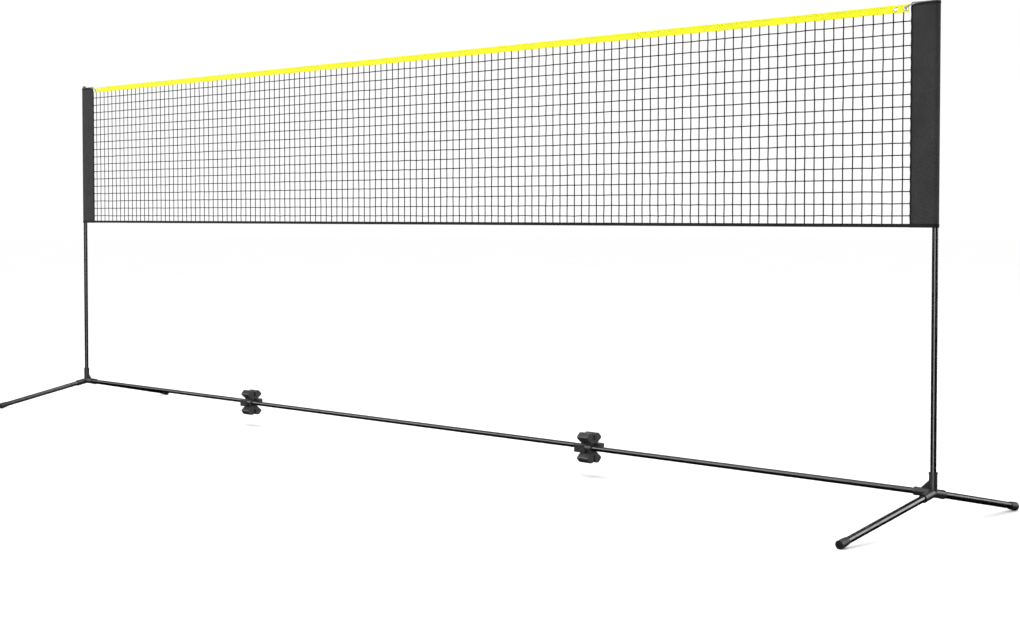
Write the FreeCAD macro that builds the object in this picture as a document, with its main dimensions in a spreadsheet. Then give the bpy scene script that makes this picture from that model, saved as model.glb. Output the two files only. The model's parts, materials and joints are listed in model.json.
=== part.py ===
import FreeCAD, Part
import math
import os
import Sketcher
from FreeCAD import Placement, Rotation, Vector

# A free-standing portable net: two posts on splayed legs, a three-part crossbar whose parts run side by
# side through two clips, and a net that hangs between two telescoping posts.
#
# Origin on the floor under the middle of the crossbar. X runs along the crossbar, Z is up, and the back
# is +Y. The whole object looks the same when it is turned half a turn about Z, so each end is designed
# once, in its own frame: the post's axis is the end's Z axis and its +X points inward along the crossbar.

DIMENSIONS = {
    # plan
    "post_x": 2572,            # post axis to the middle of the crossbar
    "lane": 23.5,              # centre distance of two bars that lie side by side
    "bar_height": 111,         # crossbar axis above the floor
    "clip_x": 1087,            # clip centre to the middle of the crossbar
    # tubes
    "tube_radius": 9.5,
    "tube_bore": 8.5,
    "swage_radius": 8.4,       # reduced end that pushes into the next tube
    "swage_bore": 7.4,
    "swage_length": 45,
    "thin_radius": 8,          # telescoping upper post
    "thin_bore": 7,
    "swage_shoulder": 1,       # wall between the swage's bore and the tube's own
    "swage_taper": 3,
    "fit_radius": 9.55,        # hole that a tube runs or pushes into
    "leg_radius": 11,
    "leg_bore": 10,
    "leg_fit": 11.05,
    "through": 5,              # how far a cut runs past the face it opens
    # corner connector
    "socket_radius": 13.2,
    "leg_socket_radius": 13.8,
    "collar_rise": 0.8,        # raised rim at each socket's mouth
    "collar_length": 6,
    "post_socket_top": 65,     # above the crossbar axis
    "bar_socket_reach": 66,
    "leg_socket_reach": 57,
    "post_stop": 15,           # where the tubes stop inside the sockets
    "bar_stop": 22,
    "leg_stop": 24,
    "gusset_reach": 44,
    "gusset_rise": 36,
    "gusset_thickness": 7,
    "gusset_tip": 2,
    # legs and feet
    "leg_drop": 98.35,
    "leg_reach": 494.3,
    "leg_end": 495.5,
    "foot_start": 465,
    "foot_end": 504,
    "foot_neck_radius": 12.6,
    "foot_radius": 14,
    "foot_lip": 16,            # length of the straight part at the foot's end
    "foot_recess_radius": 9.8,
    "foot_recess": 2.5,        # depth of the dish in the foot's end
    # crossbar
    "outer_bar_end": 800,      # joint between the two tubes of an end bar, from the post axis
    "bar_stub": 57,            # how far a bar's end block runs past a clip's centre
    "middle_joint": 380,       # joints of the middle bar, from its middle
    "cap_depth": 12,           # half the depth of a bar's end block
    "cap_lug": 20,             # how far the block stands out from the axis on its taller side
    "cap_short": 12.5,         # and on the other side
    "cap_wall": 3,
    "cap_round": 3.5,
    "cap_gap": 0.5,            # end block to the clip's grip with the bars fully out
    "cap_nest": 0.4,           # clearance round the block where it nests in the clip
    # clips
    "clip_length": 55,
    "clip_grip": 14,           # outer radius of the wall round each bar
    "clip_grip_end": 30.5,     # the grip's end from the clip's centre
    "clip_neck": 15,
    "clip_neck_top": 17,
    "clip_tip_y": 40,
    "clip_tip_z": 38,
    "clip_corner_y": 23,
    "clip_top": 56,
    "clip_notch_y": 6,
    "clip_notch_z": 28,
    "clip_notch_floor": 3,
    "clip_round": 7,
    # posts
    "lower_post_top": 944,     # just inside the foot of the sleeve
    "bush_length": 60,
    "bush_flange": 2.5,
    "plug_radius": 8.4,
    "plug_length": 27,
    "plug_gap": 0.5,           # plug to bush with the post fully out
    "thin_fit": 8.05,
    "post_top": 1635,
    "top_cap_radius": 9,
    "top_cap_rise": 12,
    "top_cap_neck": 6,
    "top_cap_flare": 1,
    "dome_width": 3,
    "dome_height": 3,
    "dome_edge": 0.7,
    "spigot_radius": 6.95,
    "spigot_length": 20,
    # net
    "net_bottom": 937,
    "net_top": 1634,
    "top_tape": 25,
    "bottom_tape": 11,
    "top_tape_thickness": 2,
    "bottom_tape_thickness": 3,
    "mesh_thickness": 0.5,
    "net_centre_half": 1330,   # half the width that stays flat at the narrowest setting
    "tape_gap": 11,            # end of the top tape to the sleeve
    # sleeves
    "sleeve_bore": 10.3,
    "sleeve_radius": 11.9,
    "sleeve_reach": 92,
    "sleeve_flat": 3,          # thickness of the sewn edge
    "sleeve_seam": 12,         # width of the sewn edge
    "sleeve_gap": 0.15,        # half the gap between the two layers at the seam
    # grommets and ties
    "grommet_near": 22,        # grommet centres from the sleeve's edge
    "grommet_far": 60,
    "grommet_radius": 8,
    "grommet_hole": 5,
    "grommet_thickness": 3.4,
    "punch_clearance": 0.05,
    "punch_length": 40,
    "tie_radius": 2.2,
    "tie_knot": 5.6,           # radius of the stopper knot behind the near grommet
    "tie_lift": 0.3,           # clearance under and beside the tie
    "tie_bend": 3,
    "tie_inset": 1.5,          # the tie clears the tape's end by this much more
    "tie_shoulder": 1,
    "tie_arch": 0.7,           # extra rise over the sleeve's inner corner
}

HALF_SPAN = "sqrt(D.post_x^2 + D.lane^2)"
SKEW = "atan(D.lane / D.post_x)"
LEG_TILT = "atan(D.leg_drop / D.leg_reach)"
SIDES = {"left": -1, "right": 1}
LEGS = {"front": -1, "back": 1}

doc = FreeCAD.newDocument("portable_net")
sheet = doc.addObject("Spreadsheet::Sheet", "D")
for row, (alias, value) in enumerate(DIMENSIONS.items(), start=1):
    sheet.set(f"A{row}", alias)
    sheet.set(f"B{row}", str(value))
    sheet.setAlias(f"B{row}", alias)
doc.recompute()

nodes = []


# ---------------------------------------------------------------- small helpers

def bind(obj, **expressions):
    """Binds properties of an object to expressions over the sheet."""
    for prop, expression in expressions.items():
        obj.setExpression(prop, str(expression))
    return obj


def place(obj, x="0", y="0", z="0", turn="0", axis="0; 0; 1"):
    """Places an object with an expression: a shift, and a turn in degrees about an axis."""
    where = f"create(<<vector>>; {x}; {y}; {z})"
    how = f"create(<<rotation>>; create(<<vector>>; {axis}); {turn})"
    obj.setExpression("Placement", f"create(<<placement>>; {where}; {how})")
    return obj


def node(obj, name):
    """Marks an object as a sub-part that is written out under this name."""
    obj.Label = name
    nodes.append(obj)
    return obj


def add(kind, name):
    return doc.addObject(kind, name)


def cylinder(name, radius, height, **where):
    solid = bind(add("Part::Cylinder", name), Radius=radius, Height=height)
    return place(solid, **where)


def cone(name, radius_low, radius_high, height, **where):
    solid = bind(add("Part::Cone", name), Radius1=radius_low, Radius2=radius_high, Height=height)
    return place(solid, **where)


def box(name, length, width, height, **where):
    solid = bind(add("Part::Box", name), Length=length, Width=width, Height=height)
    return place(solid, **where)


def fuse(name, *shapes):
    whole = add("Part::MultiFuse", name)
    whole.Shapes = list(shapes)
    return whole


def cut(name, base, *tools):
    tool = tools[0] if len(tools) == 1 else fuse(name + "_tools", *tools)
    whole = add("Part::Cut", name)
    whole.Base = base
    whole.Tool = tool
    return whole


def at_end(obj, side, z="0", skewed=False):
    """Carries an object from the frame of one end to the row's frame."""
    turn = "0 deg" if side < 0 else "180 deg"
    if skewed:
        turn = f"{turn} - {SKEW}"
    return place(obj, x=f"{side} * D.post_x", y=f"{-side} * D.lane", z=z, turn=turn)


def plane(body, role):
    return next(f for f in body.Origin.OriginFeatures if f.Role == role)


def new_sketch(body, name, role):
    sketch = body.newObject("Sketcher::SketchObject", name)
    sketch.AttachmentSupport = (plane(body, role), [""])
    sketch.MapMode = "FlatFace"
    return sketch


def outline(sketch, corners):
    """A closed outline of straight lines, its corners given as pairs of expressions."""
    values = [tuple(evaluate(e) for e in corner) for corner in corners]
    points = [Vector(u, v, 0) for u, v in values]
    count = len(points)
    first = sketch.GeometryCount
    for i in range(count):
        sketch.addGeometry(Part.LineSegment(points[i], points[(i + 1) % count]), False)
    for i in range(count):
        here, after = first + i, first + (i + 1) % count
        sketch.addConstraint(Sketcher.Constraint("Coincident", here, 2, after, 1))
    for i, (corner, value) in enumerate(zip(corners, values)):
        for kind, expression, number in zip(("DistanceX", "DistanceY"), corner, value):
            at = sketch.addConstraint(Sketcher.Constraint(kind, -1, 1, first + i, 1, number))
            sketch.setExpression(f"Constraints[{at}]", str(expression))


def circle(sketch, u, v, radius):
    """A circle whose centre and radius are expressions."""
    values = [evaluate(e) for e in (u, v, radius)]
    centre = Vector(values[0], values[1], 0)
    geo = sketch.addGeometry(Part.Circle(centre, Vector(0, 0, 1), values[2]), False)
    for kind, expression, number in (("DistanceX", u, values[0]), ("DistanceY", v, values[1])):
        at = sketch.addConstraint(Sketcher.Constraint(kind, -1, 1, geo, 3, number))
        sketch.setExpression(f"Constraints[{at}]", str(expression))
    at = sketch.addConstraint(Sketcher.Constraint("Radius", geo, values[2]))
    sketch.setExpression(f"Constraints[{at}]", str(radius))


def evaluate(expression):
    """The number that an expression over the sheet has now."""
    value = sheet.evalExpression(str(expression).replace("D.", ""))
    return float(getattr(value, "Value", value))


def turned(name, corners, upright=False):
    """A body turned about X, or about Z when upright, from a closed outline in the XZ plane."""
    body = add("PartDesign::Body", name)
    sketch = new_sketch(body, name + "_sketch", "XZ_Plane")
    outline(sketch, corners)
    revolution = body.newObject("PartDesign::Revolution", name + "_turn")
    revolution.Profile = sketch
    revolution.ReferenceAxis = (sketch, ["V_Axis" if upright else "H_Axis"])
    revolution.Angle = 360
    return body


def tube(name, start, end, radius="D.tube_radius", bore="D.tube_bore", upright=False, swaged=False):
    """A tube along X or Z. A swaged tube has a reduced male end before its start."""
    if swaged:
        tail = f"{start} - D.swage_length"
        along = [(tail, "D.swage_bore"), (tail, "D.swage_radius"), (start, "D.swage_radius"),
                 (start, radius), (end, radius), (end, bore),
                 (f"{start} + D.swage_shoulder + D.swage_taper", bore),
                 (f"{start} + D.swage_shoulder", "D.swage_bore")]
    else:
        along = [(start, bore), (start, radius), (end, radius), (end, bore)]
    corners = [(v, u) if upright else (u, v) for u, v in along]
    return turned(name, corners, upright)


def end_cap(name, end, taller):
    """A block on the +X end of a bar along X. Its taller side is above the bar for +1, below for -1."""
    body = add("PartDesign::Body", name)
    faces = []
    for stem in ("outline", "bore"):
        sketch = new_sketch(body, f"{name}_{stem}", "YZ_Plane")
        sketch.setExpression("AttachmentOffset.Base.z", f"{end} - D.bar_stub + D.cap_gap")
        faces.append(sketch)
    lug, short = f"{taller} * D.cap_lug", f"{-taller} * D.cap_short"
    outline(faces[0], [("-D.cap_depth", short), ("D.cap_depth", short), ("D.cap_depth", lug),
                       ("-D.cap_depth", lug)])
    circle(faces[1], "0", "0", "D.fit_radius")
    block = body.newObject("PartDesign::Pad", name + "_block")
    block.Profile = faces[0]
    block.setExpression("Length", "D.bar_stub - D.cap_gap")
    hollow = body.newObject("PartDesign::Pocket", name + "_hollow")
    hollow.Profile = faces[1]
    hollow.Reversed = True
    hollow.setExpression("Length", "D.bar_stub - D.cap_gap - D.cap_wall")
    doc.recompute()
    rounding = body.newObject("PartDesign::Fillet", name + "_round")
    rounding.Base = (hollow, outer_edges(hollow.Shape))
    rounding.setExpression("Radius", "D.cap_round")
    body.Tip = rounding
    return body


def outer_edges(shape):
    """The straight edges of an end block, but not those round its mouth."""
    close = 0.1
    mouth = shape.BoundBox.XMin
    return [f"Edge{number}" for number, edge in enumerate(shape.Edges, start=1)
            if len(edge.Vertexes) == 2 and any(v.X > mouth + close for v in edge.Vertexes)]


# ---------------------------------------------------------------- one end: base

def connector(name, side):
    """The corner moulding: a hub with one upright, one crossbar and two leg sockets, and a gusset."""
    height = "D.bar_height"
    hub = place(bind(add("Part::Sphere", name + "_hub"), Radius="D.socket_radius"), z=height)
    solids, holes = [hub], []
    lean = {"turn": "90", "axis": "0; 1; 0"}
    deep = "D.bar_socket_reach"
    for stem, rise, start in (("socket", "0", "0"), ("collar", "D.collar_rise", "D.collar_length")):
        for way, reach in (("post", "D.post_socket_top"), ("bar", "D.bar_socket_reach")):
            from_here = "0" if stem == "socket" else f"{reach} - {start}"
            length = reach if stem == "socket" else start
            along = {"z": f"{height} + {from_here}"} if way == "post" else {
                "x": from_here, "z": height, **lean}
            solids.append(cylinder(f"{name}_{way}_{stem}", f"D.socket_radius + {rise}", length,
                                   **along))
        for leg_name, way in LEGS.items():
            from_here = "0" if stem == "socket" else f"(D.leg_socket_reach - {start})"
            solids.append(leg_piece(f"{name}_{leg_name}_{stem}", way,
                                    f"D.leg_socket_radius + {rise}", from_here, "D.leg_socket_reach"))
    holes.append(cylinder(name + "_post_bore", "D.fit_radius", deep, z=f"{height} + D.post_stop"))
    holes.append(cylinder(name + "_bar_bore", "D.fit_radius", deep, x="D.bar_stop", z=height, **lean))
    for leg_name, way in LEGS.items():
        holes.append(leg_piece(f"{name}_{leg_name}_bore", way, "D.leg_fit", "D.leg_stop",
                               "(D.leg_socket_reach + D.through)"))
    gusset = add("Part::Wedge", name + "_gusset")
    bind(gusset, Xmin="0", Xmax="D.socket_radius + D.gusset_reach", X2min="0", X2max="D.gusset_tip",
         Ymin="0", Ymax="D.socket_radius + D.gusset_rise",
         Zmin="0", Zmax="D.gusset_thickness", Z2min="0", Z2max="D.gusset_thickness")
    place(gusset, y="D.gusset_thickness / 2", z=height, turn="90", axis="1; 0; 0")
    solids.append(gusset)
    node(at_end(cut(name, fuse(name + "_outside", *solids), *holes), side), name)


def leg_piece(name, way, radius, start, end):
    """A solid cylinder along one leg's axis."""
    return cylinder(name, radius, f"{end} - {start}",
                    y=f"{way} * {start} * cos({LEG_TILT})",
                    z=f"D.bar_height - {start} * sin({LEG_TILT})",
                    turn=f"{-way} * (90 deg + {LEG_TILT})", axis="1; 0; 0")


def leg(name, side, way):
    outside = leg_piece(name + "_outside", way, "D.leg_radius", "D.leg_stop", "D.leg_end")
    inside = leg_piece(name + "_inside", way, "D.leg_bore", "D.leg_stop", "D.leg_end")
    node(at_end(cut(name, outside, inside), side), name)


def foot(name, side, way):
    """A rubber cup that flares to its dished end, with a flat worn into it where it meets the floor."""
    flare_end = "(D.foot_end - D.foot_lip)"
    tilt = {"turn": f"{-way} * (90 deg + {LEG_TILT})", "axis": "1; 0; 0"}
    flare = cone(name + "_flare", "D.foot_neck_radius", "D.foot_radius",
                 f"{flare_end} - D.foot_start",
                 y=f"{way} * D.foot_start * cos({LEG_TILT})",
                 z=f"D.bar_height - D.foot_start * sin({LEG_TILT})", **tilt)
    lip = leg_piece(name + "_lip", way, "D.foot_radius", flare_end, "D.foot_end")
    socket = leg_piece(name + "_socket", way, "D.leg_fit", "(D.foot_start - D.through)", "D.leg_end")
    dish = leg_piece(name + "_dish", way, "D.foot_recess_radius", "(D.foot_end - D.foot_recess)",
                     "(D.foot_end + D.through)")
    floor = box(name + "_floor", "4 * D.foot_radius", "2 * D.foot_end", "D.foot_radius",
                x="-2 * D.foot_radius", y="0" if way > 0 else "-2 * D.foot_end", z="-D.foot_radius")
    node(at_end(cut(name, fuse(name + "_outside", flare, lip), socket, dish, floor), side), name)


def lower_post(name, side):
    tube_body = tube(name, "D.bar_height + D.post_stop", "D.lower_post_top", upright=True)
    node(at_end(tube_body, side), name)


def bush(name, side):
    """The collar pressed into the lower post's mouth, in which the upper post slides."""
    top = "D.lower_post_top"
    bottom = f"{top} - D.bush_length"
    body = turned(name, [
        ("D.thin_fit", bottom), ("D.tube_bore", bottom), ("D.tube_bore", top), ("D.tube_radius", top),
        ("D.tube_radius", f"{top} + D.bush_flange"), ("D.thin_fit", f"{top} + D.bush_flange"),
    ], upright=True)
    node(at_end(body, side), name)


# ---------------------------------------------------------------- one end: upper post, sleeve and net

def plug(name, side):
    """The plug in the foot of the upper post: it guides the post and stops it at the bush."""
    shoulder = "D.lower_post_top - D.bush_length - D.plug_gap"
    body = turned(name, [
        ("0", f"{shoulder} - D.plug_length"), ("D.plug_radius", f"{shoulder} - D.plug_length"),
        ("D.plug_radius", shoulder), ("D.spigot_radius", shoulder),
        ("D.spigot_radius", f"{shoulder} + D.spigot_length"), ("0", f"{shoulder} + D.spigot_length"),
    ], upright=True)
    node(at_end(body, side), name)


def upper_post(name, side):
    start = "D.lower_post_top - D.bush_length - D.plug_gap"
    body = tube(name, start, "D.post_top", radius="D.thin_radius", bore="D.thin_bore", upright=True)
    node(at_end(body, side), name)


def top_cap(name, side):
    """A low domed cap on the upper post, with a neck that the tie goes round."""
    top = "D.post_top + D.top_cap_rise"
    neck = "D.post_top + D.top_cap_neck"
    body = turned(name, [
        ("0", "D.post_top - D.spigot_length"), ("D.spigot_radius", "D.post_top - D.spigot_length"),
        ("D.spigot_radius", "D.post_top"), ("D.thin_radius", "D.post_top"),
        ("D.thin_radius", neck), ("D.top_cap_radius", f"{neck} + D.top_cap_flare"),
        ("D.top_cap_radius", f"{top} - D.dome_height"),
        ("D.top_cap_radius - D.dome_width", f"{top} - D.dome_edge"), ("0", top),
    ], upright=True)
    node(at_end(body, side), name)


def tangent_point(radius, reach, half):
    """Where a straight line from (reach, half) touches a circle about the origin, as expressions."""
    angle = f"(atan({half} / {reach}) + acos({radius} / sqrt({reach}^2 + {half}^2)))"
    return f"{radius} * cos({angle})", f"{radius} * sin({angle})"


def drawn_tight(body, name, radius, reach, half):
    """Sketches of a loop pulled tight between a circle about the post and an edge at reach."""
    ring = new_sketch(body, name + "_ring", "XY_Plane")
    circle(ring, "0", "0", radius)
    u, v = tangent_point(radius, reach, half)
    wedge = new_sketch(body, name + "_wedge", "XY_Plane")
    outline(wedge, [(u, f"-{v}"), (reach, f"-{half}"), (reach, half), (u, v)])
    return ring, wedge


def sleeve(name, side):
    """The fabric pocket: a loop drawn tight between the post and the sewn edge that carries the net."""
    body = add("PartDesign::Body", name)
    outside = drawn_tight(body, name, "D.sleeve_radius", "D.sleeve_reach", "(D.sleeve_flat / 2)")
    inside = drawn_tight(body, name + "_inner", "D.sleeve_bore", "(D.sleeve_reach - D.sleeve_seam)",
                         "D.sleeve_gap")
    for sketch in outside:
        pad = body.newObject("PartDesign::Pad", sketch.Name + "_pad")
        pad.Profile = sketch
        pad.setExpression("Length", "D.net_top - D.net_bottom")
    for sketch in inside:
        pocket = body.newObject("PartDesign::Pocket", sketch.Name + "_pocket")
        pocket.Profile = sketch
        pocket.Type = "ThroughAll"
        pocket.Reversed = True
    node(at_end(body, side, z="D.net_bottom", skewed=True), name)


def end_strip(name, start, thickness, bottom, top):
    """A flat strip of the net at one end, from start to the seam with the middle of the net."""
    length = f"{HALF_SPAN} - D.net_centre_half - ({start})"
    return box(name + "_strip", length, thickness, f"{top} - {bottom}",
               x=start, y=f"-{thickness} / 2", z=bottom)


def net_end(side_name, side):
    """The part of the net and of its tapes that gathers when this end is slid inward."""
    tape_foot = "(D.net_top - D.top_tape)"
    hem_top = "(D.net_bottom + D.bottom_tape)"
    tape_start = "D.sleeve_reach + D.tape_gap"
    tape_middle = "D.net_top - D.top_tape / 2"
    mesh = end_strip(side_name + "_mesh", "D.sleeve_reach", "D.mesh_thickness", hem_top, tape_foot)
    hem = end_strip(side_name + "_hem", "D.sleeve_reach", "D.bottom_tape_thickness",
                    "D.net_bottom", hem_top)
    tape = end_strip(side_name + "_tape", tape_start, "D.top_tape_thickness", tape_foot, "D.net_top")
    holes, rings, eyes = [], [], []
    for which in ("near", "far"):
        where = {"x": f"D.sleeve_reach + D.grommet_{which}", "z": tape_middle,
                 "turn": "90", "axis": "1; 0; 0"}
        stem = f"{side_name}_{which}"
        through = {**where, "y": "D.punch_length / 2"}
        holes.append(cylinder(stem + "_hole", "D.grommet_radius + D.punch_clearance",
                              "D.punch_length", **through))
        rings.append(cylinder(stem + "_ring", "D.grommet_radius", "D.grommet_thickness",
                              **{**where, "y": "D.grommet_thickness / 2"}))
        eyes.append(cylinder(stem + "_eye", "D.grommet_hole", "D.punch_length", **through))
    whole = {
        "net": carried(mesh),
        "bottom_tape": carried(hem),
        "top_tape": cut(side_name + "_tape_holed", tape, *holes),
        "grommets": cut(side_name + "_grommet_pair", fuse(side_name + "_rings", *rings), *eyes),
    }
    for part, solid in whole.items():
        node(at_end(solid, side, skewed=True), f"{side_name}_{part}")


def carried(solid):
    """Wraps a solid that already has a place of its own, so that the whole can be placed again."""
    whole = add("Part::Compound", solid.Name + "_whole")
    whole.Links = [solid]
    return whole


def rounded_path(points, bend):
    """A wire of straight runs through points, with an arc that starts bend before each inner point."""
    edges, start = [], points[0]
    for before, corner, after in zip(points, points[1:], points[2:]):
        into, out = (corner - before).normalize(), (after - corner).normalize()
        half_turn = math.acos(into.dot(out)) / 2
        to_centre = (out - into).normalize()
        radius = bend / math.tan(half_turn)
        middle = corner + to_centre * (bend / math.sin(half_turn) - radius)
        edges.append(Part.LineSegment(start, corner - into * bend).toShape())
        edges.append(Part.Arc(corner - into * bend, middle, corner + out * bend).toShape())
        start = corner + out * bend
    edges.append(Part.LineSegment(start, points[-1]).toShape())
    return Part.Wire(edges)


def tie(name, side):
    """A cord knotted behind the near grommet, through it, and over the sleeve's top to the cap's neck."""
    radius, lift = evaluate("D.tie_radius"), evaluate("D.tie_lift")
    knot_radius = evaluate("D.tie_knot")
    top, edge = evaluate("D.net_top"), evaluate("D.sleeve_reach")
    face = evaluate("D.grommet_thickness") / 2
    back = -side
    eye = edge + evaluate("D.grommet_near")
    eye_height = top - evaluate("D.top_tape") / 2
    knot_at = back * (face + lift / 2 + math.sqrt(knot_radius**2 - evaluate("D.grommet_hole") ** 2))
    front = -back * (face + lift + radius)
    neck = evaluate("D.thin_radius") + radius + lift
    along_top = top + radius + lift
    past_tape = edge + evaluate("D.tape_gap - D.tie_inset") - radius - lift
    shoulder = top + evaluate("D.tie_shoulder")
    corner = edge - evaluate("D.tie_shoulder")
    knot = Vector(eye, knot_at, eye_height)
    last = Vector(neck, 0, along_top)
    path = rounded_path([knot, Vector(eye, front, eye_height), Vector(past_tape, front, shoulder),
                         Vector(corner, 0, along_top + evaluate("D.tie_arch")), last],
                        evaluate("D.tie_bend"))
    section = Part.Wire(Part.Circle(knot, Vector(0, 1, 0), radius).toShape())
    run = path.makePipeShell([section], True, False)
    loop = Part.makeTorus(neck, radius, Vector(0, 0, along_top), Vector(0, 0, 1))
    cord = add("Part::Feature", name)
    cord.Shape = run.fuse([loop, Part.makeSphere(knot_radius, knot)]).removeSplitter()
    turn = (0 if side < 0 else 180) - evaluate(SKEW)
    where = Vector(side * evaluate("D.post_x"), -side * evaluate("D.lane"), 0)
    cord.Placement = Placement(where, Rotation(Vector(0, 0, 1), turn))
    node(cord, name)


# ---------------------------------------------------------------- crossbar and middle of the net

def end_bar(side_name, side):
    """The two tubes of an end bar: the inner one pushes into the outer one and runs through the clip."""
    joint = "D.outer_bar_end"
    end = "D.post_x - D.clip_x + D.bar_stub"
    outer = tube(side_name + "_outer_bar", "D.bar_stop", joint)
    inner = tube(side_name + "_inner_bar", joint, f"{end} - D.cap_wall", swaged=True)
    cap = end_cap(side_name + "_bar_cap", end, -side)
    for body in (outer, inner, cap):
        node(at_end(body, side, z="D.bar_height"), body.Name)


def middle_bar():
    """Three tubes on the X axis with an end block on each end."""
    end = "(D.clip_x + D.bar_stub)"
    centre = tube("middle_bar_centre", "-D.middle_joint", "D.middle_joint")
    place(node(centre, "middle_bar_centre"), z="D.bar_height")
    for name, side in SIDES.items():
        piece = tube(f"middle_bar_{name}", "D.middle_joint", f"{end} - D.cap_wall", swaged=True)
        cap = end_cap(f"middle_cap_{name}", end, side)
        for body in (piece, cap):
            place(node(body, body.Name), z="D.bar_height", turn="0" if side > 0 else "180")


def clip(name, side):
    """A moulded slider: a grip round each bar at the waist, and wings above and below.

    Each grip fills half the clip's length. Beside it a nest takes the end block of the other bar,
    which stops against the grip when the bars are fully out.
    """

    def half_profile(sketch, up):
        outline(sketch, [(y, f"{up} * {z}") for y, z in (
            ("-D.clip_neck", "0"), ("-D.clip_neck", "D.clip_neck_top"),
            ("-D.clip_tip_y", "D.clip_tip_z"), ("-D.clip_corner_y", "D.clip_top"),
            ("-D.clip_notch_y", "D.clip_top"), ("-D.clip_notch_floor", "D.clip_notch_z"),
            ("D.clip_notch_floor", "D.clip_notch_z"), ("D.clip_notch_y", "D.clip_top"),
            ("D.clip_corner_y", "D.clip_top"), ("D.clip_tip_y", "D.clip_tip_z"),
            ("D.clip_neck", "D.clip_neck_top"), ("D.clip_neck", "0"),
        )])

    body = add("PartDesign::Body", name)
    for stem, up in (("upper", 1), ("lower", -1)):
        wings = new_sketch(body, f"{name}_{stem}", "YZ_Plane")
        half_profile(wings, up)
        pad = body.newObject("PartDesign::Pad", f"{name}_{stem}_pad")
        pad.Profile = wings
        pad.Midplane = True
        pad.setExpression("Length", "D.clip_length")
    for stem, way in (("front", -1), ("back", 1)):
        grip = new_sketch(body, f"{name}_{stem}_grip", "YZ_Plane")
        circle(grip, f"{way} * D.lane / 2", "0", "D.clip_grip")
        pad = body.newObject("PartDesign::Pad", f"{name}_{stem}_grip_pad")
        pad.Profile = grip
        pad.Reversed = way > 0
        pad.setExpression("Length", "D.clip_grip_end")
    for stem, way in (("front", -1), ("back", 1)):
        nest = new_sketch(body, f"{name}_{stem}_nest", "YZ_Plane")
        inner = f"{way} * (D.lane / 2 - D.cap_depth - D.cap_nest)"
        outer = f"{way} * D.clip_tip_y"
        lug, short = f"{way} * (D.cap_lug + D.cap_nest)", f"{-way} * (D.cap_short + D.cap_nest)"
        outline(nest, [(inner, lug), (outer, lug), (outer, short), (inner, short)])
        hole = body.newObject("PartDesign::Pocket", f"{name}_{stem}_nest_cut")
        hole.Profile = nest
        hole.Reversed = way > 0
        hole.setExpression("Length", "D.clip_length")
    bores = new_sketch(body, name + "_bores", "YZ_Plane")
    for way in (-1, 1):
        circle(bores, f"{way} * D.lane / 2", "0", "D.fit_radius")
    pocket = body.newObject("PartDesign::Pocket", name + "_bore")
    pocket.Profile = bores
    pocket.Type = "ThroughAll"
    pocket.Midplane = True
    doc.recompute()
    wing_edges = long_edges(pocket.Shape)
    rounding = body.newObject("PartDesign::Fillet", name + "_round")
    rounding.Base = (pocket, wing_edges)
    rounding.setExpression("Radius", "D.clip_round")
    body.Tip = rounding
    node(body, name)
    place(body, x=f"{side} * D.clip_x", y=f"{-side} * D.lane / 2", z="D.bar_height")


def long_edges(shape):
    """The edges at the wings' tips and corners, which run the length of the clip."""
    heights = [evaluate("D.clip_tip_z"), evaluate("D.clip_top")]
    close = 0.1
    found = []
    for number, edge in enumerate(shape.Edges, start=1):
        ends = [v.Point for v in edge.Vertexes]
        if len(ends) != 2 or abs(ends[0].x - ends[1].x) < close:
            continue
        level = abs(ends[0].z - ends[1].z) < close
        if level and any(abs(abs(ends[0].z) - height) < close for height in heights):
            found.append(f"Edge{number}")
    return found


def net_middle():
    """The middle of the net and of its tapes, which stays flat at every width."""
    tape_foot = "(D.net_top - D.top_tape)"
    hem_top = "(D.net_bottom + D.bottom_tape)"
    strips = {
        "centre_net": ("D.mesh_thickness", hem_top, tape_foot),
        "centre_top_tape": ("D.top_tape_thickness", tape_foot, "D.net_top"),
        "centre_bottom_tape": ("D.bottom_tape_thickness", "D.net_bottom", hem_top),
    }
    for name, (thickness, bottom, top) in strips.items():
        strip = box(name + "_strip", "2 * D.net_centre_half", thickness, f"{top} - {bottom}",
                    x="-D.net_centre_half", y=f"-{thickness} / 2", z=bottom)
        place(node(carried(strip), name), turn=f"-{SKEW}")


# ---------------------------------------------------------------- the whole net

for side_name, side in SIDES.items():
    connector(side_name + "_connector", side)
    lower_post(side_name + "_lower_post", side)
    bush(side_name + "_post_bush", side)
    for leg_name, way in LEGS.items():
        leg(f"{side_name}_{leg_name}_leg", side, way * -side)
        foot(f"{side_name}_{leg_name}_foot", side, way * -side)
    end_bar(side_name, side)
    upper_post(side_name + "_upper_post", side)
    plug(side_name + "_post_plug", side)
    top_cap(side_name + "_top_cap", side)
    sleeve(side_name + "_sleeve", side)
    net_end(side_name, side)
    tie(side_name + "_tie", side)
    clip(side_name + "_clip", side)
middle_bar()
net_middle()
doc.recompute()

for obj in doc.Objects:
    if {"Invalid", "Error"} & set(obj.State):
        raise RuntimeError(f"{obj.Label} failed: {obj.State}")
os.makedirs("parts", exist_ok=True)
for obj in nodes:
    shape = obj.Shape
    if shape.isNull() or not shape.isValid() or not shape.Solids:
        raise RuntimeError(f"{obj.Label} has no valid solid")
    shape.exportStep(f"parts/{obj.Label}.step")
    print(f"{obj.Label}: {len(shape.Solids)} solid(s), {shape.Volume / 1000:.2f} cm3")
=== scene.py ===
import json
import math
import random

import bmesh
import bpy
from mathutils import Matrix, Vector, noise


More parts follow.
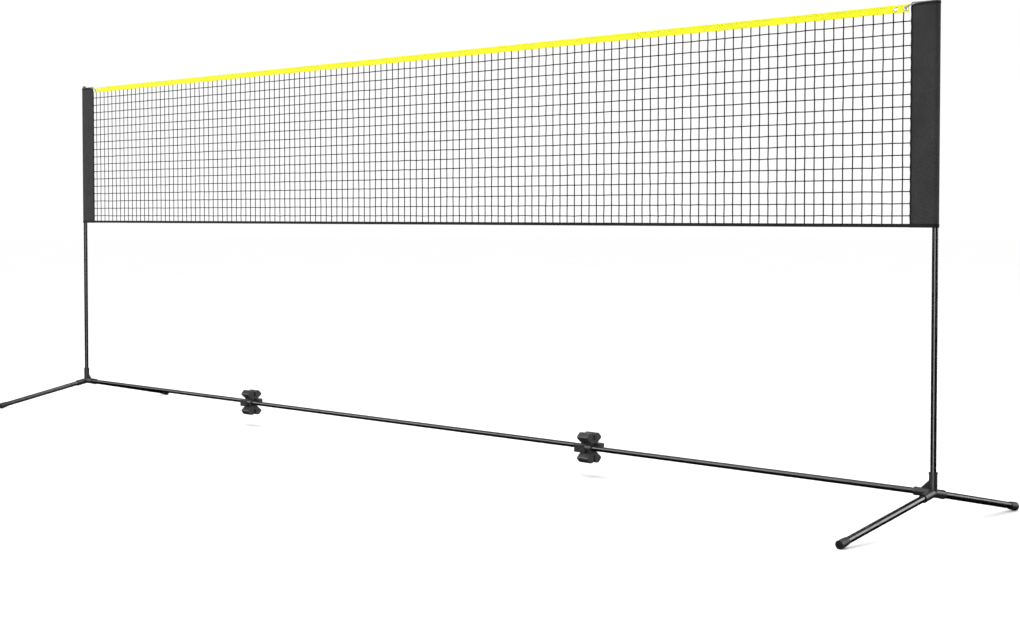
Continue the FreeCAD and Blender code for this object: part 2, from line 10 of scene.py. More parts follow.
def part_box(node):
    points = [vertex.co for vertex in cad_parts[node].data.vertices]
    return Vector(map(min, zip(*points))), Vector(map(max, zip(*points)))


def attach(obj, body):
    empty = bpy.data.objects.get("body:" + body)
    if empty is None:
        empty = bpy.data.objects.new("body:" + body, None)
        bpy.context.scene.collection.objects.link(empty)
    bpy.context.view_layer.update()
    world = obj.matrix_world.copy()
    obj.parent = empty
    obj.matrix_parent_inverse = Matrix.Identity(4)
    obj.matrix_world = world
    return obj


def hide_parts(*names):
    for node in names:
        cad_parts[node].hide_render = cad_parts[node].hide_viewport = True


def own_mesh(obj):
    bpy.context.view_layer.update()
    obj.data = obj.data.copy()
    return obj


# The looks of a free-standing portable net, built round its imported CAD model: the knotted mesh, the tapes,
# the fabric sleeves with their bindings, the eyelets and the tie cords, and a finish for every CAD node.
# All lengths are metres in the row frame: X along the crossbar, Y to the back, Z up.

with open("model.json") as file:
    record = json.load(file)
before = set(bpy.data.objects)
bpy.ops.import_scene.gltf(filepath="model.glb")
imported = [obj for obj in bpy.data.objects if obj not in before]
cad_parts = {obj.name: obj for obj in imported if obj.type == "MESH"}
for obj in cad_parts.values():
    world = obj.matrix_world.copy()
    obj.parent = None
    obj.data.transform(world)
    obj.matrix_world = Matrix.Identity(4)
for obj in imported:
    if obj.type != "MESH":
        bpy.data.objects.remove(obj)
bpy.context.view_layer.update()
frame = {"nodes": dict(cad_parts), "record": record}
NODES = frame["nodes"]
SIDES = {"left": -1, "right": 1}
UP = Vector((0, 0, 1))
random.seed(7)


def middle_of(node):
    low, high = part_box(node)
    return (low + high) / 2


# ------------------------------------------------------------ places that follow from the frame

LEFT_POST, RIGHT_POST = (middle_of(f"{name}_upper_post").xy for name in SIDES)
HALF_SPAN = (RIGHT_POST - LEFT_POST).length / 2
ALONG = (RIGHT_POST - LEFT_POST).normalized()
ACROSS = Vector((-ALONG.y, ALONG.x))
NET_BOTTOM, HEM_TOP = (corner.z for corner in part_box("centre_bottom_tape"))
TAPE_FOOT, NET_TOP = (corner.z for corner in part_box("centre_top_tape"))
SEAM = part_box("centre_net")[1].x / ALONG.x            # where the middle of the net meets its ends
NET_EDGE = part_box("right_net")[1].x / ALONG.x         # the sleeve's sewn edge
TAPE_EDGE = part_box("right_top_tape")[1].x / ALONG.x   # the top tape stops short of the sleeve
REACH = HALF_SPAN - NET_EDGE                          # width of the sleeve from the post's axis

CELL = 0.038                            # mesh size
ROWS = 17                               # level strings
FIRST_ROW = TAPE_FOOT - 0.028           # height of the highest level string
TWINE = 0.0020                          # radius of the mesh's strings
KNOT_RING, KNOT_STRAND = 1.25, 0.6      # radii of a knot's ring and of its strand, in radii of the twine
KNOT_SPREAD = 0.0004, 0.0003, 0.0004    # how far the knots stray along the net, across it and upwards
INTO_TAPE, INTO_SLEEVE = 0.0015, 0.002  # how deep the ends of the strings go in
HALF_STITCH = 0.36                      # half the length of a stitch, as a share of the pitch
STITCH_DIP = 0.0003                     # how far the ends of a stitch lie below its middle


def row(s, n, z):
    """A point given by its place along the net, towards the back, and above the floor."""
    flat = ALONG * s + ACROSS * n
    return Vector((flat.x, flat.y, z))


# ------------------------------------------------------------ mesh tools

class Shape:
    """The points and faces of one mesh, gathered bit by bit."""

    def __init__(self):
        self.points = []
        self.faces = []

    def skin(self, rings, closed=False, caps=True):
        """Joins rings that have the same number of points."""
        sides, count, start = len(rings[0]), len(rings), len(self.points)
        for ring in rings:
            self.points.extend(ring)
        for r in range(count if closed else count - 1):
            a, b = start + r * sides, start + (r + 1) % count * sides
            for k in range(sides):
                n = (k + 1) % sides
                self.faces.append((a + k, a + n, b + n, b + k))
        if caps and not closed:
            last = start + (count - 1) * sides
            self.faces.append(tuple(range(start, start + sides)))
            self.faces.append(tuple(range(last, last + sides)))

    def cloth(self, rings):
        """Joins rings that each run along one face of a cloth and back along the other."""
        start, sides = len(self.points), len(rings[0])
        self.skin(rings, caps=False)
        for first in (start, start + (len(rings) - 1) * sides):
            for k in range(sides // 2 - 1):
                self.faces.append((first + k, first + k + 1, first + sides - 2 - k, first + sides - 1 - k))

    def tube(self, path, radius, sides, across, caps=True):
        """A round tube along a path that never runs in the direction across."""
        rings = []
        for i, point in enumerate(path):
            ahead = (path[min(i + 1, len(path) - 1)] - path[max(i - 1, 0)]).normalized()
            u = (across - ahead * across.dot(ahead)).normalized()
            v = ahead.cross(u)
            rings.append([point + (u * c + v * s) * radius for c, s in circle(sides)])
        self.skin(rings, caps=caps)

    def hoop(self, centre, axis, radius, thick, steps, sides):
        """A ring of round section about an axis."""
        u = axis.orthogonal().normalized()
        v = axis.normalized().cross(u)
        rings = []
        for c, s in circle(steps):
            out = u * c + v * s
            rings.append([centre + out * (radius + thick * a) + axis.normalized() * thick * b
                          for a, b in circle(sides)])
        self.skin(rings, closed=True)

    def lathe(self, profile, centre, axis, steps):
        """A closed outline of (radius, height) pairs turned about an axis."""
        u = axis.orthogonal().normalized()
        v = axis.normalized().cross(u)
        rings = [[centre + (u * c + v * s) * radius + axis * height for radius, height in profile]
                 for c, s in circle(steps)]
        self.skin(rings, closed=True)

    def make(self, name, material, sharp=40):
        mesh = bpy.data.meshes.new(name)
        mesh.from_pydata(self.points, [], self.faces)
        work = bmesh.new()
        work.from_mesh(mesh)
        bmesh.ops.recalc_face_normals(work, faces=work.faces)
        work.to_mesh(mesh)
        work.free()
        mesh.shade_smooth()
        mesh.set_sharp_from_angle(angle=math.radians(sharp))
        mesh.materials.append(material)
        piece = bpy.data.objects.new(name, mesh)
        bpy.context.scene.collection.objects.link(piece)
        return piece


def circle(count):
    turns = [2 * math.pi * k / count for k in range(count)]
    return [(math.cos(t), math.sin(t)) for t in turns]


def folded(line, thick):
    """The outline of a cloth of that thickness about a line of (a, b) pairs: one face, then back."""
    outer, inner = [], []
    for i, (a, b) in enumerate(line):
        a0, b0 = line[max(i - 1, 0)]
        a1, b1 = line[min(i + 1, len(line) - 1)]
        da, db = a1 - a0, b1 - b0
        size = math.hypot(da, db)
        na, nb = -db / size * thick / 2, da / size * thick / 2
        outer.append((a + na, b + nb))
        inner.append((a - na, b - nb))
    return outer + inner[::-1]


def stations(start, end, step):
    count = max(2, round(abs(end - start) / step) + 1)
    return [start + (end - start) * k / (count - 1) for k in range(count)]


def ripple(*where, size=1.0):
    """Smooth unevenness between about -size and size, from two or three coordinates."""
    return noise.noise(Vector((*where, 0.5)[:3])) * size


# ------------------------------------------------------------ materials

class Look:
    """A procedural material and short ways to wire it."""

    def __init__(self, name, color, roughness, **sockets):
        self.material = bpy.data.materials.new(name)
        self.material.use_nodes = True
        self.nodes = self.material.node_tree.nodes
        self.links = self.material.node_tree.links
        self.shader = self.nodes["Principled BSDF"]
        self.shader.inputs["Base Color"].default_value = (*color, 1)
        self.shader.inputs["Roughness"].default_value = roughness
        for socket, value in sockets.items():
            self.shader.inputs[socket.replace("_", " ")].default_value = value
        self.coordinates = self.nodes.new("ShaderNodeTexCoord").outputs["Object"]

    def node(self, kind, inputs=(), **settings):
        made = self.nodes.new("ShaderNode" + kind)
        for key, value in settings.items():
            setattr(made, key, value)
        for key, value in dict(inputs).items():
            if isinstance(value, bpy.types.NodeSocket):
                self.links.new(value, made.inputs[key])
            else:
                made.inputs[key].default_value = value
        return made

    def noise(self, per_metre, detail=3.0, stretch=(1, 1, 1)):
        scaled = self.node("Mapping", {"Vector": self.coordinates, "Scale": stretch})
        return self.node("TexNoise", {"Vector": scaled.outputs[0], "Scale": per_metre,
                                      "Detail": detail}).outputs["Fac"]

    def math(self, operation, a, b=0.0):
        return self.node("Math", {0: a, 1: b}, operation=operation).outputs[0]

    def waves(self, pitch, direction):
        """Sine waves, of that pitch, whose crests cross the direction."""
        along = self.node("VectorMath", {0: self.coordinates, 1: direction}, operation="DOT_PRODUCT")
        return self.math("SINE", self.math("MULTIPLY", along.outputs["Value"], 2 * math.pi / pitch))

    def weave(self, pitch):
        """Bumps like those of a plain weave that lies in the XZ plane."""
        return self.math("MULTIPLY", self.waves(pitch, (1, 0, 0)), self.waves(pitch, (0, 0, 1)))

    def spread(self, factor, low=0.0, high=1.0):
        """Stretches the part of a noise that really occurs to the range from low to high."""
        return self.node("MapRange", {"Value": factor, "From Min": 0.3, "From Max": 0.7,
                                      "To Min": low, "To Max": high}).outputs[0]

    def tint(self, factor, dark, light):
        ramp = self.node("ValToRGB", {"Fac": self.spread(factor)})
        for element, color in zip(ramp.color_ramp.elements, (dark, light)):
            element.color = (*color, 1)
        self.links.new(ramp.outputs["Color"], self.shader.inputs["Base Color"])
        return self

    def rough(self, factor, low, high):
        self.links.new(self.spread(factor, low, high), self.shader.inputs["Roughness"])
        return self

    def relief(self, height, depth):
        bump = self.node("Bump", {"Height": height, "Distance": depth, "Strength": 1.0})
        self.links.new(bump.outputs[0], self.shader.inputs["Normal"])
        return self


def grey(value):
    """A grey with a trace of blue."""
    return (value, value, value * 1.03)


def painted_tube(name, base):
    """Gloss black paint with faint orange peel, handling marks and drawn streaks."""
    look = Look(name, grey(base), 0.25, Specular_IOR_Level=0.6)
    look.tint(look.noise(9), grey(base * 0.7), grey(base * 1.5))
    look.rough(look.noise(35, 5, (0.2, 1, 1)), 0.17, 0.34)
    return look.relief(look.noise(700, 2), 0.00006).material


def moulded(name, base, roughness, grain, depth):
    """Moulded plastic or rubber with a fine spark-eroded grain."""
    look = Look(name, grey(base), roughness, Specular_IOR_Level=0.5)
    look.tint(look.noise(40), grey(base * 0.75), grey(base * 1.3))
    look.rough(look.noise(60, 4), roughness - 0.08, roughness + 0.08)
    return look.relief(look.noise(grain, 3), depth).material


def woven(name, dark, light, pitch, depth, roughness=0.85, sheen=0.15):
    """Plain-woven cloth: a weave in relief, and slubs and faded patches in its colour."""
    look = Look(name, light, roughness, Sheen_Weight=sheen, Sheen_Roughness=0.5,
                Specular_IOR_Level=0.25)
    threads = look.weave(pitch)
    patches = look.math("ADD", look.noise(14, 4), look.math("MULTIPLY", threads, 0.06))
    look.tint(patches, dark, light)
    uneven = look.math("ADD", threads, look.math("MULTIPLY", look.noise(400, 2), 0.8))
    return look.relief(uneven, depth).material


def twisted(name, dark, light, pitch, depth, roughness=0.7):
    """Twine or thread: slanting strands, which read the same on upright and level strings."""
    look = Look(name, light, roughness, Sheen_Weight=0.02, Specular_IOR_Level=0.3)
    strands = look.waves(pitch, (0.7, 0.3, 0.7))
    look.tint(look.math("ADD", look.noise(60), look.math("MULTIPLY", strands, 0.12)), dark, light)
    return look.relief(strands, depth).material


def plated(name, base):
    """Plated metal with fine polishing marks."""
    look = Look(name, base, 0.3, Metallic=1.0)
    look.tint(look.noise(300), [c * 0.75 for c in base], base)
    look.rough(look.noise(900, 4, (1, 1, 0.2)), 0.2, 0.42)
    return look.relief(look.noise(1500, 2), 0.00003).material


def pale_floor():
    """White studio floor with no gloss, and with barely visible patches."""
    look = Look("floor_paint", (0.98, 0.98, 0.98), 0.9, Specular_IOR_Level=0.0)
    look.tint(look.noise(0.8, 2), (0.975, 0.975, 0.975), (0.99, 0.99, 0.99))
    return look.material


# After each name: painted_tube has its grey; moulded has its grey, its roughness, and the fineness and depth of
# its grain; woven and twisted have a dark and a light colour, the pitch and depth of their threads, and woven
# may have a roughness and a sheen.
FINISHES = {
    "tube_paint": painted_tube("tube_paint", 0.0025),
    "thin_tube": painted_tube("thin_tube_paint", 0.005),
    "moulding": moulded("connector_moulding", 0.012, 0.42, 1300, 0.00012),
    "clip_plastic": moulded("clip_plastic", 0.018, 0.4, 1100, 0.00010),
    "guide_plastic": moulded("guide_plastic", 0.015, 0.5, 1500, 0.00008),
    "foot_rubber": moulded("foot_rubber", 0.008, 0.55, 900, 0.00016),
    "sleeve_fabric": woven("sleeve_cloth", grey(0.0175), grey(0.0255), 0.0011, 0.00018, 0.85, 0.05),
    "net_twine": twisted("net_twine", grey(0.002), grey(0.006), 0.0021, 0.0003),
    "top_tape": woven("top_tape_cloth", (0.74, 0.75, 0.0), (0.87, 0.88, 0.002), 0.0008, 0.00010, 0.7, 0.0),
    "bottom_tape": woven("bottom_tape_cloth", grey(0.003), grey(0.006), 0.0008, 0.00012, 0.8, 0.02),
    "grommet_metal": plated("eyelet_metal", (0.72, 0.72, 0.69)),
    "tie_cord": woven("tie_braid", (0.22, 0.22, 0.21), (0.36, 0.36, 0.34), 0.0014, 0.0003),
}
BINDING = woven("binding_webbing", grey(0.002), grey(0.005), 0.0013, 0.00025, 0.8, 0.02)
DARK_THREAD = twisted("dark_thread", grey(0.005), grey(0.010), 0.0007, 0.0001)
BRIGHT_THREAD = twisted("bright_thread", (0.55, 0.55, 0.0), (0.8, 0.8, 0.02), 0.0007, 0.0001)


# ------------------------------------------------------------ camera, light and floor

def camera():
    """The photograph's view: from in front and to the right, level with the foot of the net."""
    lens = bpy.data.cameras.new("view")
    lens.sensor_width = 36
    lens.lens = 61.86
    lens.shift_y = -0.0449
    lens.clip_end = 200
    eye = bpy.data.objects.new("view", lens)
    eye.location = (5.567, -4.736, 0.974)
    heading, pitch = 136.0725, -1.983       # degrees from +X and above the horizon
    eye.rotation_euler = (math.radians(90 + pitch), 0, math.radians(heading - 90))
    bpy.context.scene.collection.objects.link(eye)
    bpy.context.scene.camera = eye


def soft_light(name, place, aim, width, height, radiance, only_gloss=False):
    """A rectangular softbox that faces a point, as bright as radiance all over."""
    light = bpy.data.lights.new(name, "AREA")
    light.shape = "RECTANGLE"
    light.size, light.size_y = width, height
    light.energy = radiance * math.pi * width * height
    lamp = bpy.data.objects.new(name, light)
    lamp.location = place
    away = Vector(place) - Vector(aim)
    lamp.rotation_euler = away.to_track_quat("Z", "Y").to_euler()
    lamp.visible_diffuse = not only_gloss
    bpy.context.scene.collection.objects.link(lamp)


def studio():
    """Even white light, with softboxes where the gloss of the tubes picks them up."""
    world = bpy.data.worlds.new("studio")
    bpy.context.scene.world = world
    world.use_nodes = True
    background = world.node_tree.nodes["Background"]
    background.inputs["Color"].default_value = (1, 1, 1, 1)
    background.inputs["Strength"].default_value = 1.01
    world.cycles_visibility.glossy = False
    # name, place, the point it faces, width, height, radiance
    soft_light("beside_camera", (5.9, -6.4, 1.2), (2.0, 0, 0.6), 4.2, 6, 8, only_gloss=True)
    soft_light("front_left", (-7.5, -5.6, 3.8), (-7.5, 0, 0.1), 12, 5.5, 5, only_gloss=True)
    soft_light("right", (7.0, 5.8, 3.3), (2.57, 0, 0.1), 4, 5.8, 7, only_gloss=True)
    soft_light("behind", (4.3, 7.6, 2.1), (2.57, 0.3, 0.1), 2.8, 1.7, 2.2, only_gloss=True)
    soft_light("back_left", (-7, 6.5, 3.5), (0, 0, 0.6), 6, 4, 1.5, only_gloss=True)
    soft_light("high_left", (0.8, 2.1, 6.3), (-2.57, -0.3, 0.1), 4, 2, 10, only_gloss=True)
    soft_light("overhead", (0, -1.5, 7), (0, 0, 0), 9, 3, 3.6)
    bpy.context.scene.view_settings.view_transform = "Standard"


def floor():
    """A large floor that the gloss of the tubes doesn't mirror."""
    mesh = bpy.data.meshes.new("floor")
    half = 60
    mesh.from_pydata([(-half, -half, 0), (half, -half, 0), (half, half, 0), (-half, half, 0)], [],
                     [(0, 1, 2, 3)])
    mesh.materials.append(pale_floor())
    ground = bpy.data.objects.new("floor", mesh)
    ground.visible_glossy = False
    bpy.context.scene.collection.objects.link(ground)


# ------------------------------------------------------------ the net

PARTS = {
    "left": (-NET_EDGE, -SEAM, "left_mast"),
    "centre": (-SEAM, SEAM, "net_middle"),
    "right": (SEAM, NET_EDGE, "right_mast"),
}


def belongs(piece, part, slot, *nodes):
    """Puts a piece of the net on its body, hides the CAD nodes it replaces, and gives a piece at an end a mesh
    of its own.
    """
    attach(piece, PARTS[part][2])
    if nodes:
        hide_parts(*nodes)
    if part in SIDES:
        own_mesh(piece)
    return piece


def knot_places():
    """Where the strings cross, each a little off its true place."""
    half = int(NET_EDGE / CELL)
    places = {}
    for i in range(-half, half):
        for j in range(ROWS):
            s, z = (i + 0.5) * CELL, FIRST_ROW - j * CELL
            stray = [random.gauss(0, spread) for spread in KNOT_SPREAD]
            places[i, j] = row(s + stray[0], stray[1], z + stray[2])
    return half, places


def mesh_of_net():
    """The knotted square mesh in its three parts: upright strings, level strings, and a ring at each knot."""
    half, knots = knot_places()
    across = Vector((ACROSS.x, ACROSS.y, 0))
    for part, (start, end, _) in PARTS.items():
        shape = Shape()
        columns = [i for i in range(-half, half) if start < (i + 0.5) * CELL < end]
        for i in columns:
            s = (i + 0.5) * CELL
            first, last = row(s, 0, TAPE_FOOT + INTO_TAPE), row(s, 0, HEM_TOP - INTO_TAPE)
            shape.tube([first] + [knots[i, j] for j in range(ROWS)] + [last], TWINE, 6, across)
        for j in range(ROWS):
            z = FIRST_ROW - j * CELL
            first = row(start - (INTO_SLEEVE if start < -SEAM else 0), 0, z)
            last = row(end + (INTO_SLEEVE if end > SEAM else 0), 0, z)
            shape.tube([first] + [knots[i, j] for i in columns] + [last], TWINE, 6, across)
        for i in columns:
            for j in range(ROWS):
                slant = Vector((ALONG.x, ALONG.y, 1 if (i + j) % 2 else -1)).normalized()
                shape.hoop(knots[i, j], slant, TWINE * KNOT_RING, TWINE * KNOT_STRAND, 8, 4)
        piece = shape.make(f"{part}_mesh", FINISHES["net_twine"], 80)
        belongs(piece, part, "net_twine", f"{part}_net")


# ------------------------------------------------------------ the tapes

def tape_line(height, half, bulge):
    """A strip folded over a rope: (towards the back, above its foot) from the front flap's foot."""
    round_top = height - bulge
    steps = 12
    turns = [math.pi * (1 - k / steps) for k in range(steps + 1)]
    over = [(bulge * math.cos(t), round_top + bulge * math.sin(t)) for t in turns]
    neck = round_top - 1.6 * bulge
    front = [(-half, 0), (-half, neck * 0.5), (-half, neck)]
    back = [(half, neck), (half, neck * 0.5), (half, 0)]
    return front + over + back


class Tape:
    """A tape folded over the edge of the net; its foot is the edge of the flaps.

    half and bulge are half its thickness at the flaps and at the rope, thick is the cloth's own thickness,
    edge is how far it reaches from the middle of the net, and sway is how unevenly it hangs.
    """

    def __init__(self, name, foot, top, half, bulge, thick, edge, sway):
        self.name, self.foot, self.top = name, foot, top
        self.half, self.thick, self.edge, self.sway = half, thick, edge, sway
        self.down = -1 if top < foot else 1
        self.line = tape_line(abs(top - foot), half, bulge)

    def at(self, s, n, up):
        """A point of the tape: s along the net, n towards the back, up from the flaps' foot."""
        share = up / abs(self.top - self.foot)      # only the flaps swing: the rope is taut
        swing = ripple(s * 5, self.foot * 9, size=self.sway) * (1 - share)
        lift = ripple(s * 7, self.foot * 5 + 3, size=self.sway * 0.5)
        return row(s, n + swing, self.foot + self.down * up + lift)

    def ends(self, part):
        start, end, _ = PARTS[part]
        return max(start, -self.edge), min(end, self.edge)

    def cloth(self, part, material):
        shape = Shape()
        start, end = self.ends(part)
        outline = folded(self.line, self.thick)
        shape.cloth([[self.at(s, a, b) for a, b in outline] for s in stations(start, end, 0.02)])
        return shape.make(f"{part}_{self.name}_cloth", material)

    def stitches(self, part, heights, pitch, material):
        """Rows of stitches on both faces."""
        proud, radius = 0.00018, 0.00032
        shape = Shape()
        start, end = self.ends(part)
        for up in heights:
            for face in (-1, 1):
                n = face * (self.half + self.thick / 2)
                for s in stations(start + pitch, end - pitch, pitch):
                    dash = [self.at(s + k * pitch * HALF_STITCH,
                                    n + face * (proud - STITCH_DIP * abs(k)), up) for k in (-1, 0, 1)]
                    shape.tube(dash, radius, 4, UP, caps=False)
        return shape.make(f"{part}_{self.name}_thread", material, 80)


def tapes():
    """The bright tape along the top of the net, with its eyelets' holes, and the dark one along its foot."""
    top = Tape("top_tape", TAPE_FOOT, NET_TOP, half=0.0008, bulge=0.0018, thick=0.0006, edge=TAPE_EDGE,
               sway=0.0006)
    hem = Tape("bottom_tape", HEM_TOP, NET_BOTTOM, half=0.0010, bulge=0.0019, thick=0.0006, edge=NET_EDGE,
               sway=0.0004)
    pitch = 0.0045          # of the stitches; their seams' heights above the flaps' foot follow
    for part in PARTS:
        for tape, seams, thread in ((top, (0.0030, 0.0185), BRIGHT_THREAD), (hem, (0.0025,), DARK_THREAD)):
            cloth = tape.cloth(part, FINISHES[tape.name])
            if tape is top and part in SIDES:
                punch(cloth, part)
            stitches = tape.stitches(part, seams, pitch, thread)
            belongs(cloth, part, tape.name, f"{part}_{tape.name}")
            belongs(stitches, part, tape.name)
            start, end = tape.ends(part)


# ------------------------------------------------------------ eyelets in the top tape

HOLE, BARREL = 0.66, 0.62       # radii of the tape's hole and of the eyelet's bore, in radii of the eyelet


def eyelet_places(side):
    """The eyelets' centres at one end, from the CAD pair's box."""
    low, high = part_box(f"{side}_grommets")
    radius = (high.z - low.z) / 2
    ends = (low.x + radius, high.x - radius)
    middle = (low.z + high.z) / 2
    return radius, [row(x / ALONG.x, 0, middle) for x in ends]


def punch(cloth, side):
    """Cuts the holes that the eyelets' barrels go through."""
    radius, places = eyelet_places(side)
    across = Vector((ACROSS.x, ACROSS.y, 0))
    cutter = Shape()
    for centre in places:
        u = across.orthogonal().normalized()
        v = across.cross(u)
        rings = [[centre + across * end + (u * c + v * s) * radius * HOLE for c, s in circle(24)]
                 for end in (-0.01, 0.01)]
        cutter.skin(rings)
    tool = cutter.make(f"{side}_punch", FINISHES["top_tape"])
    cutting = cloth.modifiers.new("holes", "BOOLEAN")
    cutting.object = tool
    cutting.solver = "EXACT"
    bpy.context.view_layer.update()
    done = bpy.data.meshes.new_from_object(cloth.evaluated_get(bpy.context.evaluated_depsgraph_get()))
    cloth.modifiers.clear()
    cloth.data = done
    bpy.data.objects.remove(tool)


def eyelets(side):
    """Two rolled eyelets: a barrel whose ends curl out over both faces of the tape."""
    radius, places = eyelet_places(side)
    across = Vector((ACROSS.x, ACROSS.y, 0))
    hole, face, lip = radius * BARREL, 0.0016, 0.0009
    front = [(hole, -face * 0.5), (hole + 0.0003, -face), (hole + 0.0011, -face - 0.0003),
             (radius - 0.0008, -face), (radius, -lip - 0.0001), (radius - 0.0003, -lip),
             (hole + 0.0006, -lip)]
    profile = front + [(r, -h) for r, h in reversed(front)]
    shape = Shape()
    for centre in places:
        shape.lathe(profile, centre, across, 40)
    piece = shape.make(f"{side}_eyelets", FINISHES["grommet_metal"], 60)
    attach(piece, f"{side}_mast")
    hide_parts(f"{side}_grommets")


# ------------------------------------------------------------ the sleeves

CLOTH = 0.0009                  # thickness of the sleeve's cloth
POST_WRAP = 0.0111              # radius of the cloth's middle where it goes round the post
SEWN_HALF = 0.0008              # half the distance of the two layers at the sewn edge
STRING_PULL = 0.0005            # how far each level string draws the sewn edge in
SLACK = 0.0014                  # size of the slack folds
BINDING_WIDTH = 0.0075          # how far the webbing reaches in from the sewn edge
CORNER_CUT = {"left": (0.017, 0.023), "right": (0.012, 0.005)}     # width and height


def sleeve_line(out=0.0):
    """(inwards, back) points of the cloth from the sewn edge in front, round the post, to the edge."""
    steps, flats = 22, 12
    radius, half = POST_WRAP + out, SEWN_HALF + out
    away = math.hypot(REACH, half)
    touch = math.atan2(half, REACH) + math.acos(radius / away)
    first = (radius * math.cos(touch), -radius * math.sin(touch))
    front = [(REACH + (first[0] - REACH) * k / flats, -half + (first[1] + half) * k / flats)
             for k in range(flats)]
    turns = [touch + (2 * math.pi - 2 * touch) * k / steps for k in range(steps + 1)]
    wrap = [(radius * math.cos(t), -radius * math.sin(t)) for t in turns]
    return front + wrap + [(u, -v) for u, v in reversed(front)]


class Sleeve:
    """The pocket of cloth at one end, pulled tight between the post and the mesh."""

    def __init__(self, side):
        self.side = side
        self.sign = SIDES[side]
        self.cut_width, self.cut_height = CORNER_CUT[side]

    def top(self, u):
        """The height of the cloth's top edge, which is cut away at its inner corner."""
        return NET_TOP - self.cut_height * max(0, (u - REACH + self.cut_width) / self.cut_width)

    def at(self, u, v, z):
        """A point of the cloth, with the pull of each string and a few slack folds in it.

        u is its distance inwards from the post's axis and v is its distance towards the back.
        """
        share = max(0.0, u / REACH)
        pull = STRING_PULL * math.cos(2 * math.pi * (z - FIRST_ROW) / CELL) * share**3
        slack = ripple(u * 25, z * 9, self.sign + (2 if v > 0 else 0), size=SLACK)
        slack *= 4 * share * (1 - share)            # most halfway between the post and the mesh
        v += (slack + pull * 0.3) * (1 if v > 0 else -1) if share > 0 else 0
        return row(self.sign * (HALF_SPAN - u - pull), v, z)

    def band(self, line, thick, bottom, top, step):
        """Rings of a cloth about a line, from a bottom to a top that may depend on u."""
        rings = []
        for share in stations(0, 1, step):
            rings.append([self.at(u, v, bottom(u) + (top(u) - bottom(u)) * share)
                          for u, v in folded(line, thick)])
        return rings

    def make(self):
        cloth = Shape()
        line = sleeve_line()
        cloth.cloth(self.band(line, CLOTH, lambda u: NET_BOTTOM, self.top, 1 / 72))
        piece = cloth.make(f"{self.side}_sleeve_cloth", FINISHES["sleeve_fabric"])
        binding = self.binding()
        stitches = self.stitches()
        for part, slot in ((piece, "sleeve_fabric"), (binding, "bottom_tape"),
                           (stitches, "sleeve_fabric")):
            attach(part, f"{self.side}_mast")
        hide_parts(f"{self.side}_sleeve")

    def binding(self):
        """Black webbing folded over the sewn edge, and bands round the top and the bottom."""
        shape = Shape()
        off, thick, band_thick = 0.0004, 0.0006, 0.0007
        wide, lie = BINDING_WIDTH, SEWN_HALF + CLOTH / 2 + off
        turns = [math.pi * (k / 8 - 0.5) for k in range(9)]
        edge = [(REACH - wide, -lie), (REACH - wide / 2, -lie)]
        edge += [(REACH + lie * math.cos(t), lie * math.sin(t)) for t in turns]
        edge += [(REACH - wide / 2, lie), (REACH - wide, lie)]
        shape.cloth(self.band(edge, thick, lambda u: NET_BOTTOM - 0.0005, self.top, 1 / 72))
        over = sleeve_line(out=CLOTH / 2 + off)
        shape.cloth(self.band(over, band_thick, lambda u: NET_BOTTOM - 0.0008, lambda u: HEM_TOP, 1 / 3))
        shape.cloth(self.band(over, band_thick, lambda u: self.top(u) - 0.006,
                              lambda u: self.top(u) + 0.0006, 1 / 3))
        return shape.make(f"{self.side}_sleeve_binding", BINDING)

    def stitches(self):
        """Stitches down the binding and down the inner seam, on both faces."""
        shape = Shape()
        pitch, radius, lie = 0.0042, 0.0003, SEWN_HALF + CLOTH / 2 + 0.0009
        for u in (REACH - 0.0052, REACH - 0.0125):
            for face in (-1, 1):
                out = lie if u > REACH - BINDING_WIDTH else lie + 0.0006
                for z in stations(NET_BOTTOM + 0.004, self.top(u) - 0.004, pitch):
                    dash = [self.at(u, face * (out - STITCH_DIP * abs(k)), z + k * pitch * HALF_STITCH)
                            for k in (-1, 0, 1)]
                    shape.tube(dash, radius, 4, Vector((1, 0, 0)), caps=False)
        return shape.make(f"{self.side}_sleeve_thread", DARK_THREAD, 80)


# ------------------------------------------------------------ tie cords

def rounded(points, bend):
    """The points of a path with its corners rounded off."""
    steps = 6
    path = [points[0]]
    for before, corner, after in zip(points, points[1:], points[2:]):
        start = corner + (before - corner).normalized() * bend
        end = corner + (after - corner).normalized() * bend
        for k in range(steps + 1):
            t = k / steps
            path.append(start * (1 - t) ** 2 + corner * 2 * t * (1 - t) + end * t * t)
    return path + [points[-1]]


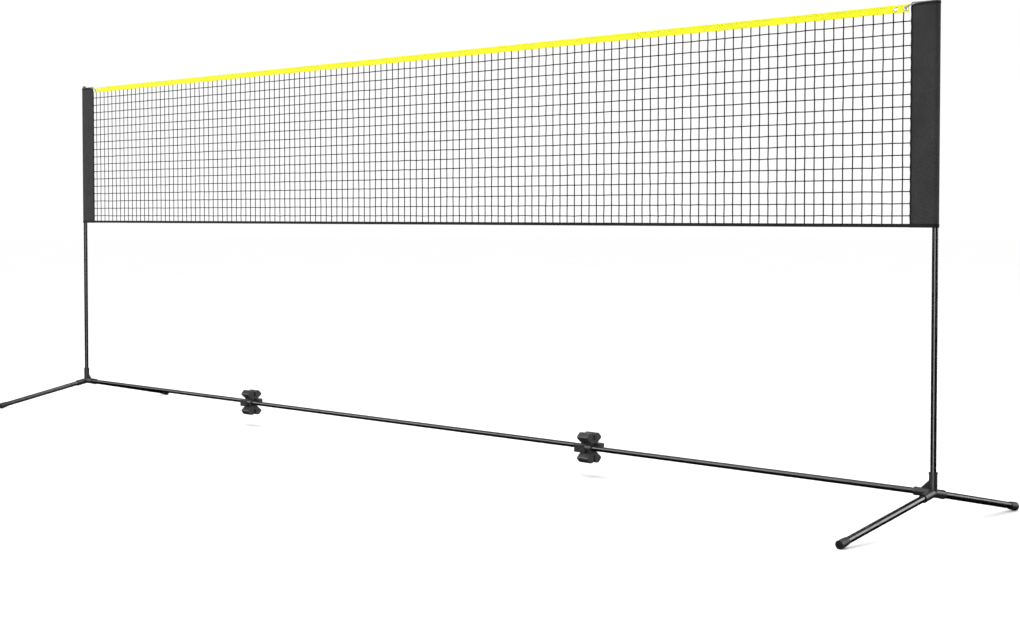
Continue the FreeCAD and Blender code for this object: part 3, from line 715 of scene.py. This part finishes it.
def trefoil(centre, size):
    """The middle line of an overhand knot that is drawn up tight."""
    steps = 48
    points = []
    for k in range(steps):
        t = 2 * math.pi * k / steps
        points.append(centre + Vector((math.sin(t) + 2 * math.sin(2 * t), -1.2 * math.sin(3 * t),
                                       math.cos(t) - 2 * math.cos(2 * t))) * size)
    return points + points[:1]


def tie(side):
    """A soft cord, knotted behind the near eyelet, over the sleeve's corner and round the cap's neck."""
    sign = SIDES[side]
    post = middle_of(f"{side}_top_cap")
    eye = max(eyelet_places(side)[1], key=lambda p: abs(p.x))
    eye_s = abs(eye.x) / ALONG.x
    thick = 0.0021                                  # radius of the cord
    front, back = -0.0042, 0.0045                   # where it comes out of the eyelet
    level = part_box(f"{side}_tie")[1].z - thick      # its height over the sleeve and round the cap
    neck = 0.0102                                   # radius of its loop round the cap

    def at(s, n, z):
        return row(sign * s, n, z)

    path = rounded([at(eye_s, back, eye.z), at(eye_s, front, eye.z),
                    at(NET_EDGE + 0.0075, front, NET_TOP + 0.001),
                    at(NET_EDGE + 0.0005, 0, level + 0.0004),
                    at(HALF_SPAN - neck - 0.001, 0, level)], 0.003)
    shape = Shape()
    aside = Vector((0.3, 0.55, 0.78)).normalized()      # a direction in which the cord never runs
    shape.tube(path, thick, 10, aside)
    shape.hoop(Vector((post.x, post.y, level)), UP, neck, thick, 40, 10)
    stopper, hitch = at(eye_s, back + 0.0012, eye.z), at(HALF_SPAN - neck - 0.004, 0, level + 0.0004)
    for centre, size in ((stopper, 0.00125), (hitch, 0.0009)):
        shape.tube(trefoil(centre, size), thick * 0.8, 8, Vector((0.2, 1, 0.1)).normalized())
    piece = shape.make(f"{side}_tie_cord", FINISHES["tie_cord"], 80)
    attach(piece, f"{side}_mast")
    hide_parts(f"{side}_tie")


# ------------------------------------------------------------ finish of the CAD nodes

def finish_nodes():
    """Gives each CAD node the procedural finish of its slot in the record."""
    for part in frame["record"]["subparts"]:
        for slot in NODES[part["node"]].material_slots:
            slot.material = FINISHES[part["material_slot"]]


camera()
studio()
floor()
finish_nodes()
mesh_of_net()
tapes()
for side in SIDES:
    eyelets(side)
    Sleeve(side).make()
    tie(side)
